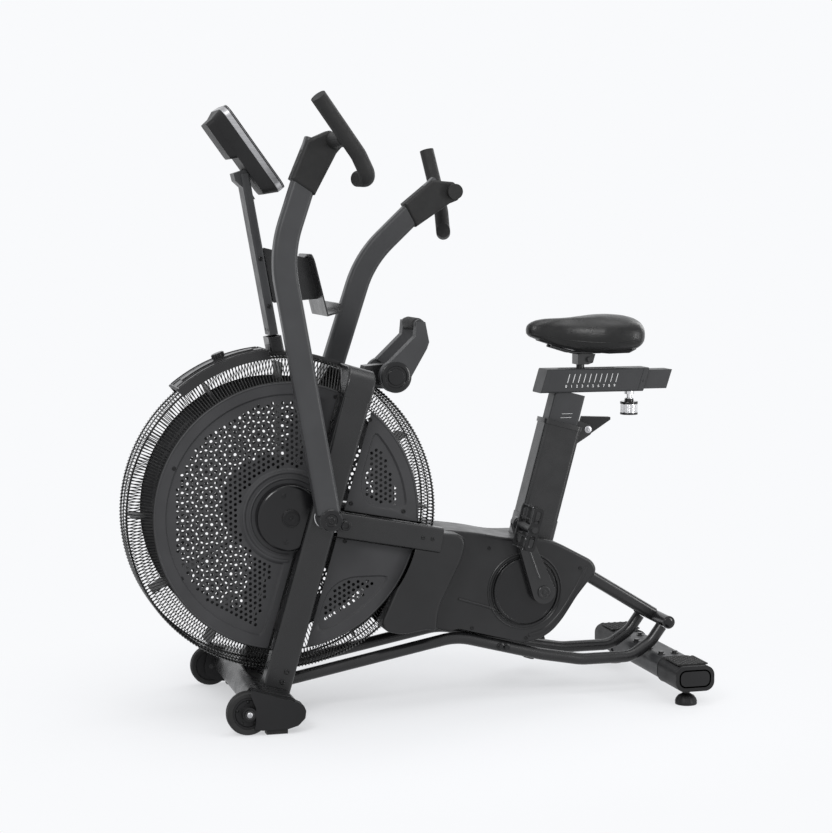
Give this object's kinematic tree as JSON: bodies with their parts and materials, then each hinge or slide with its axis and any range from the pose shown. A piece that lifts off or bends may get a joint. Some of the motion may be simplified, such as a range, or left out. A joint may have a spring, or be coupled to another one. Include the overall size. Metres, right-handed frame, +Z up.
{
  "type": "air bike",
  "caption": "Air-resistance exercise bike: caged fan behind perforated side panels, swinging arms linked to the cranks, sliding saddle, console mast and levelling feet.",
  "frame": {"origin": "on the floor, under the middle of the bike's overall length and width", "axes": "+X is the way the rider faces, +Y the rider's left, +Z up"},
  "size_m": [1.3006, 0.7372, 1.356],
  "materials": {
    "frame_black": "satin powder coat",
    "panel_grey": "fine textured powder coat on stamped sheet",
    "arm_grey": "satin charcoal coat",
    "slate_metal": "satin grey coat",
    "cage_wire": "gloss black coat on steel wire",
    "shroud_plastic": "fine grained moulding",
    "black_plastic": "matte moulding",
    "gloss_black": "smooth moulding",
    "grip_rubber": "matte moulded rubber",
    "wheel_tyre": "solid rubber",
    "saddle_skin": "smooth black vinyl",
    "chrome_trim": "polished plate",
    "steel": "zinc plated",
    "blade_steel": "plain sheet",
    "screen_glass": "smooth dark window",
    "crank_black": "gloss black coat on forging"
  },
  "bodies": {
    "frame": {"left_post": "frame_black", "right_post": "frame_black", "top_arch": "frame_black", "mast_base": "frame_black", "left_side_rail": "frame_black", "right_side_rail": "frame_black", "centre_beam": "frame_black", "left_lower_rail": "frame_black", "right_lower_rail": "frame_black", "rear_stay": "frame_black", "rear_handle": "frame_black", "front_stabiliser": "frame_black", "front_end_caps": "black_plastic", "rubber_pads": "grip_rubber", "rear_stabiliser": "slate_metal", "rear_end_caps": "black_plastic", "seat_tube": "frame_black", "front_panels": "panel_grey", "rear_panels": "panel_grey", "fan_cage": "cage_wire", "hub_covers": "gloss_black", "crank_covers": "gloss_black", "fan_axle": "steel", "wind_guard": "frame_black", "left_shroud": "shroud_plastic", "right_shroud": "shroud_plastic", "mast": "slate_metal", "phone_holder": "frame_black", "drive_belts": "grip_rubber", "bearings": "steel", "fasteners": "crank_black", "console_housing": "black_plastic", "console_face": "screen_glass"},
    "fan": {"fan_hub": "steel", "fan_blades": "blade_steel", "fan_pulley": "blade_steel"},
    "jackshaft": {"jackshaft": "steel"},
    "crank": {"crank_axle": "crank_black", "crank_arms": "crank_black", "crank_pulley": "blade_steel"},
    "left_pedal": {"left_pedal": "black_plastic"},
    "right_pedal": {"right_pedal": "black_plastic"},
    "left_arm": {"left_arm": "arm_grey", "left_grip": "grip_rubber"},
    "right_arm": {"right_arm": "arm_grey", "right_grip": "grip_rubber"},
    "left_link_rod": {"left_link_rod": "steel"},
    "right_link_rod": {"right_link_rod": "steel"},
    "left_wheel": {"left_wheel": "wheel_tyre"},
    "right_wheel": {"right_wheel": "wheel_tyre"},
    "left_leveller": {"left_leveller": "grip_rubber"},
    "right_leveller": {"right_leveller": "grip_rubber"},
    "seat_post": {"seat_post": "slate_metal", "slider_housing": "slate_metal"},
    "saddle": {"slider_rail": "slate_metal", "saddle_clamp": "crank_black", "saddle_pad": "saddle_skin"},
    "saddle_knob": {"saddle_knob": "chrome_trim"},
    "seat_lever": {"seat_lever": "black_plastic"},
    "grab_handle": {"grab_handle": "arm_grey"}
  },
  "joints": [
    {"name": "fan_spin", "type": "hinge", "parent": "frame", "child": "fan", "pos_m": [0.29925, 0, 0.446], "axis": [0, 1, 0], "continuous": true},
    {"name": "jack_spin", "type": "hinge", "parent": "frame", "child": "jackshaft", "pos_m": [-0.11075, 0, 0.285], "axis": [0, 1, 0], "continuous": true},
    {"name": "crank_spin", "type": "hinge", "parent": "frame", "child": "crank", "pos_m": [-0.29375, 0, 0.25], "axis": [0, 1, 0], "continuous": true},
    {"name": "left_pedal_spin", "type": "hinge", "parent": "crank", "child": "left_pedal", "pos_m": [-0.23295, 0.172, 0.4109], "axis": [0, 1, 0], "continuous": true},
    {"name": "right_pedal_spin", "type": "hinge", "parent": "crank", "child": "right_pedal", "pos_m": [-0.35455, -0.172, 0.0891], "axis": [0, 1, 0], "continuous": true},
    {"name": "left_arm_swing", "type": "hinge", "parent": "frame", "child": "left_arm", "pos_m": [0.22725, 0.198, 0.45], "axis": [0, 1, 0], "range_deg": [-28, 0]},
    {"name": "right_arm_swing", "type": "hinge", "parent": "frame", "child": "right_arm", "pos_m": [0.22725, -0.198, 0.45], "axis": [0, 1, 0], "range_deg": [0, 28]},
    {"name": "left_link_turn", "type": "hinge", "parent": "left_arm", "child": "left_link_rod", "pos_m": [0.21927, 0.122, 0.41798], "axis": [0, 1, 0], "range_deg": [0, 28]},
    {"name": "right_link_turn", "type": "hinge", "parent": "right_arm", "child": "right_link_rod", "pos_m": [0.23523, -0.122, 0.41798], "axis": [0, 1, 0], "range_deg": [-28, 0]},
    {"name": "left_wheel_roll", "type": "hinge", "parent": "frame", "child": "left_wheel", "pos_m": [0.41725, 0.245, 0.0474], "axis": [0, 1, 0], "continuous": true},
    {"name": "right_wheel_roll", "type": "hinge", "parent": "frame", "child": "right_wheel", "pos_m": [0.41725, -0.245, 0.0474], "axis": [0, 1, 0], "continuous": true},
    {"name": "left_leveller_turn", "type": "hinge", "parent": "frame", "child": "left_leveller", "pos_m": [-0.59475, 0.231, 0], "axis": [0, 0, 1], "continuous": true},
    {"name": "right_leveller_turn", "type": "hinge", "parent": "frame", "child": "right_leveller", "pos_m": [-0.59475, -0.231, 0], "axis": [0, 0, 1], "continuous": true},
    {"name": "seat_post_slide", "type": "slide", "parent": "frame", "child": "seat_post", "axis": [-0.2554, 0, 0.9668], "range_m": [-0.03, 0.12]},
    {"name": "saddle_slide", "type": "slide", "parent": "seat_post", "child": "saddle", "axis": [1, 0, 0], "range_m": [-0.07, 0.045]},
    {"name": "saddle_knob_turn", "type": "hinge", "parent": "seat_post", "child": "saddle_knob", "pos_m": [-0.53975, 0, 0.68], "axis": [0, 0, 1], "continuous": true},
    {"name": "seat_lever_swing", "type": "hinge", "parent": "frame", "child": "seat_lever", "pos_m": [-0.43275, 0, 0.61], "axis": [0, -1, 0], "range_deg": [0, 60]},
    {"name": "grab_handle_fold", "type": "hinge", "parent": "frame", "child": "grab_handle", "pos_m": [0.04525, 0, 0.746], "axis": [0, -1, 0], "range_deg": [0, 60]}
  ],
  "couplings": [
    {"joint": "jack_spin", "follows": "fan_spin", "ratio": 0.5},
    {"joint": "crank_spin", "follows": "fan_spin", "ratio": 0.125},
    {"joint": "right_arm_swing", "follows": "left_arm_swing", "ratio": -1},
    {"joint": "left_link_turn", "follows": "left_arm_swing", "ratio": -1},
    {"joint": "right_link_turn", "follows": "left_arm_swing", "ratio": 1}
  ]
}
